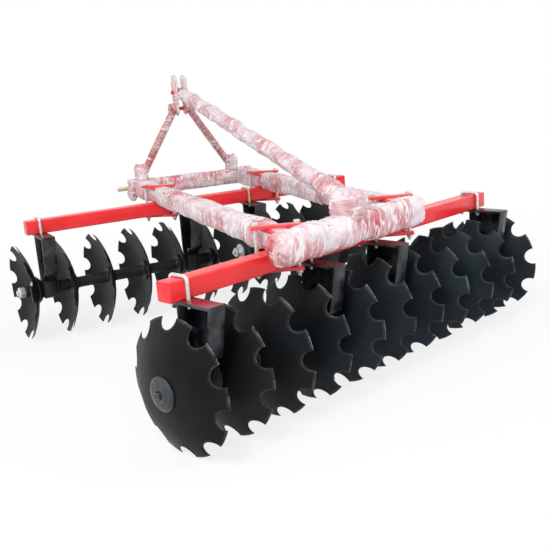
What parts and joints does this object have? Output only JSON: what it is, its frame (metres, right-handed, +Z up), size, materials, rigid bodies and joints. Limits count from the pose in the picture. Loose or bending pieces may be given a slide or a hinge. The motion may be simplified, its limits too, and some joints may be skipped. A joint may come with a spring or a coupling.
{
  "type": "disc harrow",
  "caption": "Mounted offset disc harrow: two gangs of notched discs under red square-tube beams, tied by a clamped frame with a three-point mast.",
  "frame": {"origin": "centre of the bounding box on the floor that the discs stand on", "axes": "+X to the machine's right, +Y forward to the hitch, +Z up"},
  "size_m": [2.6362, 2.9292, 1.45],
  "materials": {
    "disc_black": "satin black paint on dished steel, bright at the tooth edges",
    "cast_black": "satin black paint on rough castings",
    "hanger_black": "gloss black paint on bent plate",
    "frame_red": "gloss red paint",
    "zinc_steel": "zinc plated bolts",
    "wrap_film": "thin clear wrapping film, crinkled, over red paint"
  },
  "bodies": {
    "harrow_frame": {"rear_gang_beam": "frame_red", "front_gang_beam": "frame_red", "side_member_left": "frame_red", "side_member_right": "frame_red", "front_cross_member": "frame_red", "rear_cross_member": "frame_red", "front_clamp_left": "zinc_steel", "front_clamp_right": "zinc_steel", "rear_clamp_left": "zinc_steel", "rear_clamp_right": "zinc_steel", "mast_clevis": "frame_red", "mast_leg_left": "frame_red", "mast_leg_right": "frame_red", "stay_bracket": "frame_red", "backstay": "frame_red", "hitch_bracket_left": "frame_red", "hitch_bracket_right": "frame_red", "rear_bearing_1": "cast_black", "rear_bearing_2": "cast_black", "rear_bearing_3": "cast_black", "rear_bearing_4": "cast_black", "rear_hanger_1": "hanger_black", "rear_hanger_2": "hanger_black", "rear_hanger_3": "hanger_black", "rear_hanger_4": "hanger_black", "front_bearing_1": "cast_black", "front_bearing_2": "cast_black", "front_bearing_3": "cast_black", "front_bearing_4": "cast_black", "front_hanger_1": "hanger_black", "front_hanger_2": "hanger_black", "front_hanger_3": "hanger_black", "front_hanger_4": "hanger_black"},
    "rear_gang_left": {"rear_gang_bolt_left": "cast_black", "rear_disc_1": "disc_black", "rear_disc_2": "disc_black", "rear_disc_3": "disc_black", "rear_disc_4": "disc_black", "rear_disc_5": "disc_black"},
    "rear_gang_right": {"rear_gang_bolt_right": "cast_black", "rear_disc_6": "disc_black", "rear_disc_7": "disc_black", "rear_disc_8": "disc_black", "rear_disc_9": "disc_black", "rear_disc_10": "disc_black", "rear_disc_11": "disc_black"},
    "front_gang_left": {"front_gang_bolt_left": "cast_black", "front_disc_1": "disc_black", "front_disc_2": "disc_black", "front_disc_3": "disc_black", "front_disc_4": "disc_black", "front_disc_5": "disc_black", "front_disc_6": "disc_black"},
    "front_gang_right": {"front_gang_bolt_right": "cast_black", "front_disc_7": "disc_black", "front_disc_8": "disc_black", "front_disc_9": "disc_black", "front_disc_10": "disc_black", "front_disc_11": "disc_black"}
  },
  "joints": [
    {"name": "rear_gang_left_spin", "type": "hinge", "parent": "harrow_frame", "child": "rear_gang_left", "pos_m": [-0.99616, -1.23466, 0.27998], "axis": [0.9272, 0.3746, 0], "continuous": true},
    {"name": "rear_gang_right_spin", "type": "hinge", "parent": "harrow_frame", "child": "rear_gang_right", "pos_m": [0.0701, -0.80386, 0.27998], "axis": [0.9272, 0.3746, 0], "continuous": true},
    {"name": "front_gang_left_spin", "type": "hinge", "parent": "harrow_frame", "child": "front_gang_left", "pos_m": [-0.06257, 0.90292, 0.27998], "axis": [0.9945, 0.1045, 0], "continuous": true},
    {"name": "front_gang_right_spin", "type": "hinge", "parent": "harrow_frame", "child": "front_gang_right", "pos_m": [1.08113, 1.02313, 0.27998], "axis": [0.9945, 0.1045, 0], "continuous": true}
  ]
}
